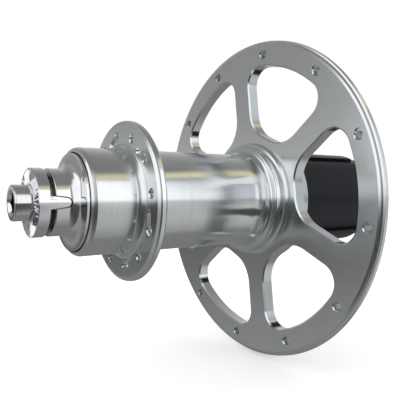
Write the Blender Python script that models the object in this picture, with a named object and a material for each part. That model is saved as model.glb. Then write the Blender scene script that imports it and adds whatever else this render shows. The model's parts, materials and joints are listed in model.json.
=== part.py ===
"""Rear bicycle hub with one small flange, one large six-spoked flange and a cassette freehub.

The axle lies along X and the drive side is +X. +Z is up. The origin is on the axle's centre line,
midway between the two faces that meet the frame's dropouts. All sizes below are in millimetres,
and MM turns them into Blender's metres. Turned pieces are given as an outline of (x, radius)
points that is spun about the X axis.
"""
import math

import bmesh
import bpy
from mathutils import Matrix

MM = 0.001
AROUND_X = (1, 0, 0)
FULL_TURN = 2 * math.pi

# ---- facets round each kind of turned piece ----
SHELL_FACETS = 36
MID_FACETS = 24
RACE_FACETS = 24
SEAL_FACETS = 16

# ---- the whole hub ----
OVER_LOCKNUT = 135.0                      # distance between the dropout faces
DROPOUT_X = OVER_LOCKNUT / 2
STUB_LENGTH = 4.8                         # axle end that sits in the dropout slot
STUB_R = 5.0
SKEWER_BORE_R = 2.6
CLEARANCE = 0.1                           # radial gap between pieces that fit together
END_GAP = 0.2                             # gap along the axle between neighbouring pieces

# ---- hub shell ----
BARREL_FACE_X = -55.3
BARREL_R = 15.86
WAIST_R = 15.8
MOUTH_R = 14.6
SMALL_FLANGE_X = -40.1                    # outer face of the small flange
SMALL_FLANGE_THICK = 2.7
SMALL_FLANGE_R = 24.56
SMALL_HOLE_CIRCLE_R = 19.9
SMALL_HOLE_START_DEG = 24.0
BIG_FLANGE_X = 11.45                      # face of the large flange that looks at the small one
BIG_FLANGE_THICK = 4.5
BIG_FLANGE_R = 56.3
BIG_HOLE_CIRCLE_R = 51.4
BIG_HOLE_START_DEG = 9.45
SPOKE_HOLES = 12
SPOKE_HOLE_R = 1.25
BOSS_R = 22.0                             # ring behind the large flange that holds the ratchet
BOSS_END_X = 19.2
RATCHET_BORE_R = 20.2
RATCHET_SEAT_X = 13.0
FILLET_R = 2.5

# ---- windows of the large flange ----
WINDOWS = 6
WINDOW_START_DEG = 24.5
ARM_HALF_WIDTH = 4.15
WINDOW_OUTER_R = 47.6
WINDOW_INNER_R = 23.2
WINDOW_OUTER_CORNER_R = 6.0
WINDOW_INNER_CORNER_R = 11.2

# ---- the four 15 x 28 x 7 cartridge bearings ----
BEARING_HALF_WIDTH = 3.5
BEARING_OUTER_R = 14.0
BEARING_BORE_R = 7.55
BALL_PITCH_R = 10.75
BALL_R = 1.65
BALLS = 10
TRACK_R = 1.85                            # radius of the groove that the balls run in
INNER_LAND_R = 9.5
OUTER_LAND_R = 12.0
SEAL_RECESS_R = 12.7
SEAL_THICK = 0.6
BEARING_CENTRES = {
    "left_bearing": -49.9,
    "right_bearing": 6.9,
    "freehub_inner_bearing": 25.5,
    "freehub_outer_bearing": 55.9,
}

# ---- axle ----
AXLE_R = 7.45
AXLE_SHOULDER_R = 8.9
AXLE_BORE_R = 5.2
AXLE_LEFT_X = -64.1
AXLE_RIGHT_X = 62.0

# ---- end caps and preload cone ----
CAP_R = 9.68
LEFT_RING_THICK = 3.2
SPIGOT_LENGTH = 11.0
ORING_GROOVE_R = 4.3
ORING_R = 0.4
SOCKET_R = 3.15                           # corner radius of the hexagonal key socket
SOCKET_DEPTH = 5.5
CONE_R = 9.6
CONE_LIP_R = 14.2
CONE_LEFT_X = -62.9
KEY_ROOT_HALF = 1.9                        # half width where the key leaves the ring
KEY_NOSE_HALF = 1.2
KEY_TIP_X = -58.9
KEY_INNER_R = 8.2
KEY_GAP = 0.35

# ---- freehub ----
FREEHUB_R = 17.45
FREEHUB_LEFT_X = 19.7
FREEHUB_RIGHT_X = 66.2
FREEHUB_STEP_X = 60.0                      # where the body narrows for the last sprocket
FREEHUB_NECK_R = 16.05
CARRIER_R = 15.6                          # the stretch inside the shell that carries the pawls
CARRIER_LEFT_X = 13.3
CARRIER_BORE_R = 10.4
LOCKRING_BORE_R = 15.3
KEYWAY_DEGS = (32.5, 132.5, 232.5, 312.5)
KEYWAY_WIDTH = 3.4
KEYWAY_FLOOR_R = 16.2
KEYWAY_LEFT_X = 24.0
CIRCLIP_LEFT_X = 59.7
CIRCLIP_THICK = 0.7

# ---- ratchet and pawls ----
TEETH = 24
TOOTH_TIP_R = 16.4
TOOTH_ROOT_R = 17.9
RATCHET_R = 20.1
RATCHET_LEFT_X = 13.1
RATCHET_RIGHT_X = 17.5
PAWLS = 3
PAWL_START_DEG = 90.0
PAWL_PIVOT_R = 13.5
PAWL_TOOTH_LEAD_DEG = 23.2                # from a pawl's pivot to the tooth face it pushes
PAWL_LEFT_X = 13.6
PAWL_RIGHT_X = 17.3
POCKET_LEFT_X = 13.0                      # the pockets are open at the carrier's end
POCKET_RIGHT_X = 17.7


def polar(radius, degrees):
    """A point at this angle, anticlockwise from the first axis."""
    angle = math.radians(degrees)
    return radius * math.cos(angle), radius * math.sin(angle)


def arc(centre, radius, start_deg, end_deg, steps):
    """Points along an arc, both ends included."""
    points = []
    for i in range(steps + 1):
        across, up = polar(radius, start_deg + (end_deg - start_deg) * i / steps)
        points.append((centre[0] + across, centre[1] + up))
    return points


def make_material(name, colour, metallic, roughness):
    material = bpy.data.materials.new(name)
    material.use_nodes = True
    shader = material.node_tree.nodes["Principled BSDF"]
    shader.inputs["Base Color"].default_value = (*colour, 1.0)
    shader.inputs["Metallic"].default_value = metallic
    shader.inputs["Roughness"].default_value = roughness
    return material


def make_materials():
    return {
        "polished_aluminium": make_material("polished_aluminium", (0.80, 0.80, 0.81), 1.0, 0.22),
        "black_anodised": make_material("black_anodised", (0.02, 0.022, 0.03), 0.6, 0.35),
        "axle_aluminium": make_material("axle_aluminium", (0.62, 0.63, 0.65), 1.0, 0.4),
        "bearing_steel": make_material("bearing_steel", (0.55, 0.56, 0.58), 1.0, 0.15),
        "hardened_steel": make_material("hardened_steel", (0.30, 0.29, 0.28), 1.0, 0.4),
        "spring_steel": make_material("spring_steel", (0.45, 0.45, 0.47), 1.0, 0.3),
        "seal_rubber": make_material("seal_rubber", (0.03, 0.03, 0.03), 0.0, 0.7),
    }


def add_object(name, mesh_builder, material):
    """Turn a finished bmesh into an object with smooth round faces and crisp corners."""
    bmesh.ops.recalc_face_normals(mesh_builder, faces=mesh_builder.faces)
    mesh = bpy.data.meshes.new(name)
    mesh_builder.to_mesh(mesh)
    mesh_builder.free()
    mesh.shade_smooth()
    mesh.set_sharp_from_angle(angle=math.radians(32))
    if material:
        mesh.materials.append(material)
    obj = bpy.data.objects.new(name, mesh)
    bpy.context.scene.collection.objects.link(obj)
    return obj


def spin_outline(mesh_builder, outline, facets):
    """Spin a closed outline of (x, radius) points a full turn about the X axis."""
    corners = [mesh_builder.verts.new((x * MM, 0, radius * MM)) for x, radius in outline]
    edges = [mesh_builder.edges.new(pair) for pair in zip(corners, corners[1:] + corners[:1])]
    bmesh.ops.spin(mesh_builder, geom=corners + edges, cent=(0, 0, 0), axis=AROUND_X,
                   angle=FULL_TURN, steps=facets, use_merge=True, use_duplicate=False)


def turned(name, outline, facets, material):
    mesh_builder = bmesh.new()
    spin_outline(mesh_builder, outline, facets)
    return add_object(name, mesh_builder, material)


def add_prism(mesh_builder, outline, low, high, matrix=None):
    """Extrude an outline of (y, z) points along X, from low to high, then place it by a matrix."""
    bottom = [mesh_builder.verts.new((low * MM, y * MM, z * MM)) for y, z in outline]
    face = mesh_builder.faces.new(bottom)
    grown = bmesh.ops.extrude_face_region(mesh_builder, geom=[face], use_keep_orig=True)["geom"]
    top = [item for item in grown if isinstance(item, bmesh.types.BMVert)]
    bmesh.ops.translate(mesh_builder, verts=top, vec=((high - low) * MM, 0, 0))
    if matrix:
        bmesh.ops.transform(mesh_builder, matrix=matrix, verts=bottom + top)


def round_x(degrees):
    return Matrix.Rotation(math.radians(degrees), 4, "X")


def hide_tool(obj):
    """Mark an object as a tool that shapes another one and isn't part of the hub."""
    obj.hide_render = True
    obj.display_type = "WIRE"
    return obj


def shape_with(target, tool, operation):
    modifier = target.modifiers.new(tool.name, "BOOLEAN")
    modifier.operation = operation
    modifier.solver = "EXACT"
    modifier.object = tool


def cut(target, name, mesh_builder):
    shape_with(target, hide_tool(add_object(name, mesh_builder, None)), "DIFFERENCE")


def join(target, name, mesh_builder):
    shape_with(target, hide_tool(add_object(name, mesh_builder, None)), "UNION")


# ---- hub shell ----

def small_flange_outline():
    face = SMALL_FLANGE_X
    back = SMALL_FLANGE_X + SMALL_FLANGE_THICK
    rim_bevel_x, rim_bevel_r = 0.5, 0.76
    points = arc((face - FILLET_R, BARREL_R + FILLET_R), FILLET_R, 270, 360, 2)
    points += [(face, SMALL_FLANGE_R - rim_bevel_r), (face + rim_bevel_x, SMALL_FLANGE_R),
               (back - rim_bevel_x, SMALL_FLANGE_R), (back, SMALL_FLANGE_R - rim_bevel_r)]
    points += arc((back + FILLET_R, WAIST_R + FILLET_R), FILLET_R, 180, 270, 2)
    return points


def step_rings_outline():
    """The two raised rings where the waist grows into the large flange."""
    root = BIG_FLANGE_X
    return [(root - 6.9, WAIST_R), (root - 5.1, 16.1), (root - 4.1, 16.9), (root - 3.4, 18.2),
            (root - 2.4, 18.9), (root - 1.9, 18.5), (root - 1.1, 18.9), (root, 20.3)]


def big_flange_outline():
    face = BIG_FLANGE_X
    back = BIG_FLANGE_X + BIG_FLANGE_THICK
    front_bevel_x, front_bevel_r = 0.64, 1.6
    back_bevel_x, back_bevel_r = 1.9, 2.4
    return [(face, BIG_FLANGE_R - front_bevel_r), (face + front_bevel_x, BIG_FLANGE_R),
            (back - back_bevel_x, BIG_FLANGE_R), (back, BIG_FLANGE_R - back_bevel_r),
            (back, BOSS_R + 0.8), (back + 0.8, BOSS_R)]


def shell_inside_outline():
    """The bores, from the drive side to the left: ratchet, bearing, waist, bearing, mouth."""
    shoulder_r = SEAL_RECESS_R
    relief_r = 13.5
    right_seat = BEARING_CENTRES["right_bearing"] - BEARING_HALF_WIDTH - END_GAP
    left_seat = BEARING_CENTRES["left_bearing"] + BEARING_HALF_WIDTH + END_GAP
    mouth_end = BARREL_FACE_X + 1.6
    bore_r = BEARING_OUTER_R + CLEARANCE
    return [(BOSS_END_X, RATCHET_BORE_R), (RATCHET_SEAT_X, RATCHET_BORE_R),
            (RATCHET_SEAT_X, bore_r), (right_seat, bore_r), (right_seat, shoulder_r),
            (right_seat - 3, shoulder_r), (right_seat - 4, relief_r),
            (left_seat + 4, relief_r), (left_seat + 3, shoulder_r), (left_seat, shoulder_r),
            (left_seat, bore_r), (mouth_end, bore_r), (mouth_end, MOUTH_R)]


def window_outline():
    """One window as (y, z) points: straight sides along the arms, round corners, arc outside."""
    points = []
    for side in (1, -1):
        lean = 180.0 / WINDOWS * side
        corners = ((WINDOW_OUTER_R, -1, WINDOW_OUTER_CORNER_R, 3),
                   (WINDOW_INNER_R, 1, WINDOW_INNER_CORNER_R, 3))
        half = []
        for edge_r, direction, corner_r, steps in corners:
            off_arm = ARM_HALF_WIDTH + corner_r
            from_axis = edge_r + direction * corner_r
            along_arm = math.sqrt(from_axis ** 2 - off_arm ** 2)
            towards_edge = math.degrees(math.atan2(off_arm, along_arm))
            start = towards_edge if direction < 0 else -90.0
            end = -90.0 if direction < 0 else towards_edge - 180.0
            half += arc((along_arm, off_arm), corner_r, start, end, steps)
        for along, off in half:
            radius = math.hypot(along, off)
            turn = math.degrees(math.atan2(off, along))
            y, z = polar(radius, 90 + lean - side * turn)
            points.append((y, z, side))
    right = [(y, z) for y, z, side in points if side == 1]
    left = [(y, z) for y, z, side in points if side == -1]
    edge_half_turn = 90 - math.degrees(math.atan2(left[0][1], left[0][0]))
    outer_arc = arc((0, 0), WINDOW_OUTER_R, 90 - edge_half_turn, 90 + edge_half_turn, 4)[1:-1]
    return left[::-1] + outer_arc + right


def make_hub_shell(material):
    outline = [(BARREL_FACE_X, MOUTH_R), (BARREL_FACE_X, MOUTH_R + 0.5),
               (BARREL_FACE_X + 0.7, BARREL_R)]
    outline += small_flange_outline() + step_rings_outline() + big_flange_outline()
    outline += [(BOSS_END_X - 0.4, BOSS_R), (BOSS_END_X, BOSS_R - 0.4)]
    outline += shell_inside_outline()
    shell = turned("hub_shell", outline, SHELL_FACETS, material)

    windows = bmesh.new()
    for i in range(WINDOWS):
        add_prism(windows, window_outline(), BIG_FLANGE_X - 1, BIG_FLANGE_X + BIG_FLANGE_THICK + 1,
                  round_x(WINDOW_START_DEG + i * 360 / WINDOWS))
    cut(shell, "window_cutter", windows)

    holes = bmesh.new()
    hole_outline = arc((0, 0), SPOKE_HOLE_R, 0, 315, 7)
    flanges = ((SMALL_FLANGE_X, SMALL_FLANGE_THICK, SMALL_HOLE_CIRCLE_R, SMALL_HOLE_START_DEG),
               (BIG_FLANGE_X, BIG_FLANGE_THICK, BIG_HOLE_CIRCLE_R, BIG_HOLE_START_DEG))
    for face, thick, circle_r, start in flanges:
        for i in range(SPOKE_HOLES):
            place = round_x(start + i * 360 / SPOKE_HOLES) @ Matrix.Translation((0, 0, circle_r * MM))
            add_prism(holes, hole_outline, face - 1, face + thick + 1, place)
    cut(shell, "spoke_hole_cutter", holes)
    return shell


# ---- bearings ----

def track(centre_x, centre_r, start_deg, end_deg):
    """The groove's section, as points on a circle a little larger than the ball."""
    return arc((centre_x, centre_r), TRACK_R, start_deg, end_deg, 3)


def make_bearing(name, centre_x, materials):
    left, right = centre_x - BEARING_HALF_WIDTH, centre_x + BEARING_HALF_WIDTH
    steel = materials["bearing_steel"]
    inner_dip = math.degrees(math.asin((BALL_PITCH_R - INNER_LAND_R) / TRACK_R))
    outer_dip = math.degrees(math.asin((OUTER_LAND_R - BALL_PITCH_R) / TRACK_R))

    inner = [(left, BEARING_BORE_R), (left, INNER_LAND_R)]
    inner += track(centre_x, BALL_PITCH_R, 180 + inner_dip, 360 - inner_dip)
    inner += [(right, INNER_LAND_R), (right, BEARING_BORE_R)]
    turned(name + "_inner_race", inner, RACE_FACETS, steel)

    recess = SEAL_THICK + 0.35
    outer = [(left, BEARING_OUTER_R), (left, SEAL_RECESS_R), (left + recess, SEAL_RECESS_R),
             (left + recess, OUTER_LAND_R)]
    outer += track(centre_x, BALL_PITCH_R, 180 - outer_dip, outer_dip)
    outer += [(right - recess, OUTER_LAND_R), (right - recess, SEAL_RECESS_R),
              (right, SEAL_RECESS_R), (right, BEARING_OUTER_R)]
    turned(name + "_outer_race", outer, RACE_FACETS, steel)

    for side, start in (("left", left + 0.15), ("right", right - 0.15 - SEAL_THICK)):
        low_r, high_r = INNER_LAND_R + 0.25, SEAL_RECESS_R - 0.2
        ring = [(start, low_r), (start, high_r), (start + SEAL_THICK, high_r),
                (start + SEAL_THICK, low_r)]
        turned(f"{name}_{side}_seal", ring, SEAL_FACETS, materials["seal_rubber"])

    cage_half_width, cage_half_height = 0.9, 0.45
    ring = [(centre_x - cage_half_width, BALL_PITCH_R - cage_half_height),
            (centre_x - cage_half_width, BALL_PITCH_R + cage_half_height),
            (centre_x + cage_half_width, BALL_PITCH_R + cage_half_height),
            (centre_x + cage_half_width, BALL_PITCH_R - cage_half_height)]
    cage = turned(name + "_ball_cage", ring, RACE_FACETS, steel)
    balls = bmesh.new()
    for i in range(BALLS):
        place = round_x((i + 0.5) * 360 / BALLS) @ Matrix.Translation(
            (centre_x * MM, 0, BALL_PITCH_R * MM))
        bmesh.ops.create_uvsphere(balls, u_segments=6, v_segments=4, radius=BALL_R * MM, matrix=place)
    join(cage, name + "_balls", balls)


# ---- axle and the pieces that stay still on it ----

def make_axle(material):
    shoulder_left = BEARING_CENTRES["left_bearing"] + BEARING_HALF_WIDTH + END_GAP
    shoulder_right = BEARING_CENTRES["right_bearing"] - BEARING_HALF_WIDTH - END_GAP
    outline = [(AXLE_LEFT_X, AXLE_BORE_R), (AXLE_LEFT_X, AXLE_R - 0.4), (AXLE_LEFT_X + 0.4, AXLE_R),
               (shoulder_left, AXLE_R), (shoulder_left, AXLE_SHOULDER_R),
               (shoulder_right, AXLE_SHOULDER_R), (shoulder_right, AXLE_R),
               (AXLE_RIGHT_X - 0.4, AXLE_R), (AXLE_RIGHT_X, AXLE_R - 0.4), (AXLE_RIGHT_X, AXLE_BORE_R)]
    turned("axle", outline, RACE_FACETS, material)


def mirrored(outline):
    """The same outline for the drive side."""
    return [(-x, radius) for x, radius in outline]


def end_cap_outline(ring_points):
    """A stub for the dropout, a ring given by its outer points, and a spigot with an O-ring groove."""
    stub_end = -DROPOUT_X - STUB_LENGTH
    ring_end = ring_points[-1][0]
    spigot_end = ring_end + SPIGOT_LENGTH
    spigot_r = AXLE_BORE_R - CLEARANCE
    groove = ring_end + 6.0
    outline = [(stub_end, SKEWER_BORE_R), (stub_end, STUB_R - 0.5), (stub_end + 0.5, STUB_R),
               (-DROPOUT_X, STUB_R)]
    outline += ring_points
    outline += [(ring_end, spigot_r), (groove, spigot_r), (groove, ORING_GROOVE_R),
                (groove + 1.2, ORING_GROOVE_R), (groove + 1.2, spigot_r),
                (spigot_end, spigot_r), (spigot_end, SKEWER_BORE_R)]
    return outline, groove + 0.6


def make_oring(name, centre_x, material):
    section = arc((centre_x, ORING_GROOVE_R + 0.05 + ORING_R), ORING_R, 0, 300, 5)
    turned(name, section, RACE_FACETS, material)


def cut_key_socket(target, name, stub_end, inward):
    hexagon = arc((0, 0), SOCKET_R, 0, 300, 5)
    tool = bmesh.new()
    low, high = sorted((stub_end - inward, stub_end + inward * SOCKET_DEPTH))
    add_prism(tool, hexagon, low, high)
    cut(target, name, tool)


def key_outline(gap):
    """The locking key seen from the side, as (x, z) points: tapered flanks and a rounded nose."""
    root_x = -DROPOUT_X + LEFT_RING_THICK - 1.0
    root_half = KEY_ROOT_HALF + gap
    nose = arc((KEY_TIP_X - KEY_NOSE_HALF, 0), KEY_NOSE_HALF + gap, -80, 80, 6)
    return [(root_x, root_half), (root_x, -root_half)] + nose


def key_prism(gap, low_r, high_r):
    """The key stands out on the -Y side, between two distances from the axis."""
    tool = bmesh.new()
    add_prism(tool, key_outline(gap), low_r, high_r, Matrix.Rotation(math.radians(-90), 4, "Z"))
    return tool


def make_left_cap(materials):
    ring_end = -DROPOUT_X + LEFT_RING_THICK
    ring = [(-DROPOUT_X, CAP_R - 0.3), (-DROPOUT_X + 0.3, CAP_R), (ring_end, CAP_R)]
    outline, oring_x = end_cap_outline(ring)
    cap = turned("left_end_cap", outline, MID_FACETS, materials["polished_aluminium"])
    join(cap, "left_cap_key", key_prism(0.0, KEY_INNER_R, CAP_R - 0.25))
    cut_key_socket(cap, "left_socket_cutter", -DROPOUT_X - STUB_LENGTH, 1)
    make_oring("left_cap_o_ring", oring_x, materials["seal_rubber"])


def make_right_cap(materials):
    shield_left = -CIRCLIP_LEFT_X - CIRCLIP_THICK - 1.9
    shield_right = shield_left + 1.0
    race_x = -BEARING_CENTRES["freehub_outer_bearing"] - BEARING_HALF_WIDTH - END_GAP
    sleeve_r, shield_r = 9.4, 13.4
    bore_r = AXLE_R + CLEARANCE + 0.05
    pocket_x = -AXLE_RIGHT_X - END_GAP
    ring = [(-DROPOUT_X, CAP_R - 0.3), (-DROPOUT_X + 0.3, CAP_R), (shield_left, CAP_R),
            (shield_left, shield_r), (shield_right, shield_r), (shield_right, sleeve_r),
            (race_x, sleeve_r), (race_x, bore_r), (pocket_x, bore_r)]
    outline, oring_x = end_cap_outline(ring)
    cap = turned("right_end_cap", mirrored(outline), MID_FACETS, materials["polished_aluminium"])
    cut_key_socket(cap, "right_socket_cutter", DROPOUT_X + STUB_LENGTH, -1)
    make_oring("right_cap_o_ring", -oring_x, materials["seal_rubber"])


def make_preload_cone(material):
    """The collar that flares like a trumpet into the dust lip over the left bearing."""
    flare_start, flare_end = -59.3, -56.15
    depth, height = flare_end - flare_start, CONE_LIP_R - CONE_R
    flare = []
    for i in range(5):
        angle = math.radians(90 * i / 4)
        flare.append((flare_start + depth * math.sin(angle), CONE_R + height * (1 - math.cos(angle))))
    bore_r = AXLE_R + CLEARANCE + 0.05
    race_x = BEARING_CENTRES["left_bearing"] - BEARING_HALF_WIDTH - END_GAP
    lip_end, foot_r = -54.6, 9.4
    outline = [(CONE_LEFT_X, bore_r), (CONE_LEFT_X, CONE_R - 0.2), (CONE_LEFT_X + 0.2, CONE_R)]
    outline += flare
    outline += [(lip_end, CONE_LIP_R), (lip_end, foot_r), (race_x, foot_r), (race_x, bore_r)]
    cone = turned("left_preload_cone", outline, MID_FACETS, material)
    cut(cone, "key_notch_cutter", key_prism(KEY_GAP, KEY_INNER_R - 0.3, CONE_LIP_R + 2))


def make_sleeve(name, left, right, inner_r, outer_r, material):
    outline = [(left, inner_r), (left, outer_r), (right, outer_r), (right, inner_r)]
    turned(name, outline, RACE_FACETS, material)


def make_sleeves(materials):
    """The spacers that hold the races apart: two on the axle and one inside the freehub."""
    reach = BEARING_HALF_WIDTH + END_GAP
    gap_1 = (BEARING_CENTRES["right_bearing"] + reach, BEARING_CENTRES["freehub_inner_bearing"] - reach)
    gap_2 = (BEARING_CENTRES["freehub_inner_bearing"] + reach,
             BEARING_CENTRES["freehub_outer_bearing"] - reach)
    aluminium = materials["axle_aluminium"]
    make_sleeve("hub_to_freehub_spacer", *gap_1, BEARING_BORE_R, 9.3, aluminium)
    make_sleeve("freehub_inner_race_spacer", *gap_2, BEARING_BORE_R, 9.3, aluminium)
    make_sleeve("freehub_outer_race_spacer", *gap_2, 12.9, BEARING_OUTER_R - 0.1, aluminium)


# ---- freehub ----

def pocket_outline():
    """The pawl's pocket as (y, z) points from the pivot: a cup for the pivot, then a flat floor."""
    cup = arc((0, 0), 1.85, 95, 260, 5)
    floor, tip_end, above = -1.75, 7.0, 4.0
    return cup + [(0.6, floor), (tip_end, floor), (tip_end, above), (-0.3, above)]


def pivot_place(index):
    """The pawls' pivots, evenly spaced round the axle."""
    turn = round_x(PAWL_START_DEG + index * 360 / PAWLS)
    return turn @ Matrix.Translation((0, 0, PAWL_PIVOT_R * MM))


def make_freehub_body(material):
    bore_r = BEARING_OUTER_R + CLEARANCE
    seat_x = BEARING_CENTRES["freehub_inner_bearing"] - BEARING_HALF_WIDTH - END_GAP
    clip_left = CIRCLIP_LEFT_X - 0.1
    clip_right = CIRCLIP_LEFT_X + CIRCLIP_THICK + 0.1
    lockring_x = clip_right + 0.3
    clip_groove_r = 14.75
    outline = [(CARRIER_LEFT_X, CARRIER_BORE_R), (CARRIER_LEFT_X, CARRIER_R),
               (FREEHUB_LEFT_X, CARRIER_R), (FREEHUB_LEFT_X, FREEHUB_R - 0.3),
               (FREEHUB_LEFT_X + 0.3, FREEHUB_R), (FREEHUB_STEP_X - 0.7, FREEHUB_R),
               (FREEHUB_STEP_X, FREEHUB_R - 0.5), (FREEHUB_STEP_X, FREEHUB_NECK_R),
               (FREEHUB_RIGHT_X - 0.2, FREEHUB_NECK_R), (FREEHUB_RIGHT_X, FREEHUB_NECK_R - 0.2),
               (FREEHUB_RIGHT_X, LOCKRING_BORE_R), (lockring_x, LOCKRING_BORE_R),
               (lockring_x, bore_r), (clip_right, bore_r), (clip_right, clip_groove_r),
               (clip_left, clip_groove_r), (clip_left, bore_r), (seat_x, bore_r),
               (seat_x, CARRIER_BORE_R)]
    body = turned("freehub_body", outline, SHELL_FACETS, material)

    pockets = bmesh.new()
    for i in range(PAWLS):
        add_prism(pockets, pocket_outline(), POCKET_LEFT_X, POCKET_RIGHT_X, pivot_place(i))
    cut(body, "pawl_pocket_cutter", pockets)

    keyways = bmesh.new()
    half = KEYWAY_WIDTH / 2
    slot = [(-half, KEYWAY_FLOOR_R), (half, KEYWAY_FLOOR_R), (half, FREEHUB_R + 2),
            (-half, FREEHUB_R + 2)]
    for degrees in KEYWAY_DEGS:
        add_prism(keyways, slot, KEYWAY_LEFT_X, FREEHUB_STEP_X + 1, round_x(degrees))
    cut(body, "keyway_cutter", keyways)


def make_freehub_seal(material):
    """The rubber lip that closes the gap between the freehub and the shell's boss."""
    left, right = RATCHET_RIGHT_X + 0.4, BOSS_END_X - 0.1
    outline = [(left, CARRIER_R + 0.3), (left, 17.6), (left + 0.5, RATCHET_BORE_R - 0.3),
               (right, RATCHET_BORE_R - 0.3), (right, CARRIER_R + 0.3)]
    turned("freehub_seal", outline, MID_FACETS, material)


def make_circlip(material):
    """The split ring that holds the outer bearing in the freehub."""
    open_half_deg = 14
    outline = arc((0, 0), 14.6, open_half_deg, 360 - open_half_deg, 28)
    outline += arc((0, 0), 12.9, 360 - open_half_deg, open_half_deg, 28)
    mesh_builder = bmesh.new()
    add_prism(mesh_builder, outline, CIRCLIP_LEFT_X, CIRCLIP_LEFT_X + CIRCLIP_THICK)
    add_object("freehub_circlip", mesh_builder, material)


def make_ratchet_ring(material):
    """A ring with saw teeth inside, their steep faces where the pawls' tips push."""
    tooth_deg = 360 / TEETH
    quarter = tooth_deg / 4
    loops = {"inner": [], "outer": []}
    for i in range(TEETH):
        steep = PAWL_TOOTH_LEAD_DEG + i * tooth_deg
        loops["inner"] += [(TOOTH_ROOT_R, steep), (TOOTH_TIP_R, steep)]
        loops["outer"] += [(RATCHET_R, steep - quarter), (RATCHET_R, steep + quarter)]
    mesh_builder = bmesh.new()
    rings = []
    for x in (RATCHET_LEFT_X, RATCHET_RIGHT_X):
        for loop in ("inner", "outer"):
            ring = []
            for radius, lead in loops[loop]:
                y, z = polar(radius, 90 - lead)
                ring.append(mesh_builder.verts.new((x * MM, y * MM, z * MM)))
            rings.append(ring)
    left_inner, left_outer, right_inner, right_outer = rings
    pairs = ((left_inner, left_outer), (left_outer, right_outer), (right_outer, right_inner),
             (right_inner, left_inner))
    count = len(left_inner)
    for first, second in pairs:
        for i in range(count):
            j = (i + 1) % count
            mesh_builder.faces.new((first[i], first[j], second[j], second[i]))
    bmesh.ops.transform(mesh_builder, matrix=round_x(PAWL_START_DEG), verts=mesh_builder.verts)
    add_object("ratchet_ring", mesh_builder, material)


def make_pawls(materials):
    """Each pawl turns on its round heel, and a bent leaf spring lies under it."""
    heel = arc((0, 0), 1.5, 80, 290, 7)
    blade = heel + [(1.3, -0.9), (6.4, -0.3), (6.4, 1.1)]
    leaf_low = [(6.1, -1.55), (2.0, -1.55), (1.75, -1.35), (5.6, -0.72)]
    leaf_high = [(5.6, -0.92), (2.6, -1.35), (6.1, -1.35)]
    for i in range(PAWLS):
        mesh_builder = bmesh.new()
        add_prism(mesh_builder, blade, PAWL_LEFT_X, PAWL_RIGHT_X)
        pawl = add_object(f"pawl_{i + 1}", mesh_builder, materials["hardened_steel"])
        pawl.matrix_world = pivot_place(i)

        mesh_builder = bmesh.new()
        add_prism(mesh_builder, leaf_low + leaf_high, PAWL_LEFT_X + 0.7, PAWL_RIGHT_X - 0.7)
        spring = add_object(f"pawl_spring_{i + 1}", mesh_builder, materials["spring_steel"])
        spring.matrix_world = pivot_place(i)


def main():
    for obj in list(bpy.data.objects):
        bpy.data.objects.remove(obj)
    materials = make_materials()
    make_hub_shell(materials["polished_aluminium"])
    for name, centre_x in BEARING_CENTRES.items():
        make_bearing(name, centre_x, materials)
    make_axle(materials["axle_aluminium"])
    make_left_cap(materials)
    make_right_cap(materials)
    make_preload_cone(materials["polished_aluminium"])
    make_sleeves(materials)
    make_freehub_body(materials["black_anodised"])
    make_freehub_seal(materials["seal_rubber"])
    make_circlip(materials["spring_steel"])
    make_ratchet_ring(materials["hardened_steel"])
    make_pawls(materials)


main()
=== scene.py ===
"""Looks for the rear hub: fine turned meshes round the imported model, their finishes, light and camera.

Sizes are in millimetres and MM turns them into metres. The axle lies along X and the drive side is
+X. Angles round the axle are in degrees, start at +Z and grow towards -Y. A turned piece is given
as an outline of (x, radius, corner radius) points.
"""
import json
import math

import bmesh
import bpy
from mathutils import Matrix, Vector


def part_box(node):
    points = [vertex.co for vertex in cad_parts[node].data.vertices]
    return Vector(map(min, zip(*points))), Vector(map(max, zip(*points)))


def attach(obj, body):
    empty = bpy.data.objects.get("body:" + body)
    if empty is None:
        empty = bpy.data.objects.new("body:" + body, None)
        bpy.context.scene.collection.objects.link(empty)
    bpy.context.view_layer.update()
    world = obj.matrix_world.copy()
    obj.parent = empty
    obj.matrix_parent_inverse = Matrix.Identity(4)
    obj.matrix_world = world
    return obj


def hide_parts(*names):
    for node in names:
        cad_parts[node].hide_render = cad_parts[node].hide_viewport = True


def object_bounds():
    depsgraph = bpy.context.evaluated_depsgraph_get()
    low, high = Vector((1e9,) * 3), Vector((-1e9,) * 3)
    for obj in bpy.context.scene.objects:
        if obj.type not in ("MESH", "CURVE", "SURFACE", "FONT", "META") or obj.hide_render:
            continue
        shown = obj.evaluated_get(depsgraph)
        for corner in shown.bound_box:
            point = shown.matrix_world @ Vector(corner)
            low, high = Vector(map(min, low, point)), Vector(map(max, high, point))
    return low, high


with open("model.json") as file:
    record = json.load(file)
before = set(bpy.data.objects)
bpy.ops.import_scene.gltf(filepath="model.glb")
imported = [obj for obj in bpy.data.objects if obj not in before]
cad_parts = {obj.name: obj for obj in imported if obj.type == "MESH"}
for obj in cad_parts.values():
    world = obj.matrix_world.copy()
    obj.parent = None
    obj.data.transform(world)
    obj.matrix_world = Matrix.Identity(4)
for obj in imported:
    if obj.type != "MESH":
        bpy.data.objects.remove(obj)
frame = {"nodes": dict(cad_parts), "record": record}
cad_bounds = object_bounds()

MM = 0.001
FINE = 240                                # facets round the shell and the freehub
MEDIUM = 144                              # facets round the caps, the cone and the seals
CIRCLE_FACETS = 40                        # facets round a small hole
CORNER_STEPS = 5
SHARP_DEG = 30                            # edges bent more than this stay crisp
END_GAP = 0.2                             # gap along the axle between neighbouring pieces


def box_mm(node):
    low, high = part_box(node)
    return low / MM, high / MM


def mount_x(name):
    """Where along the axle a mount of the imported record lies."""
    places = {mount["name"]: mount["pos_m"] for mount in frame["record"]["mounts"]}
    return places[name][0] / MM


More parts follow.
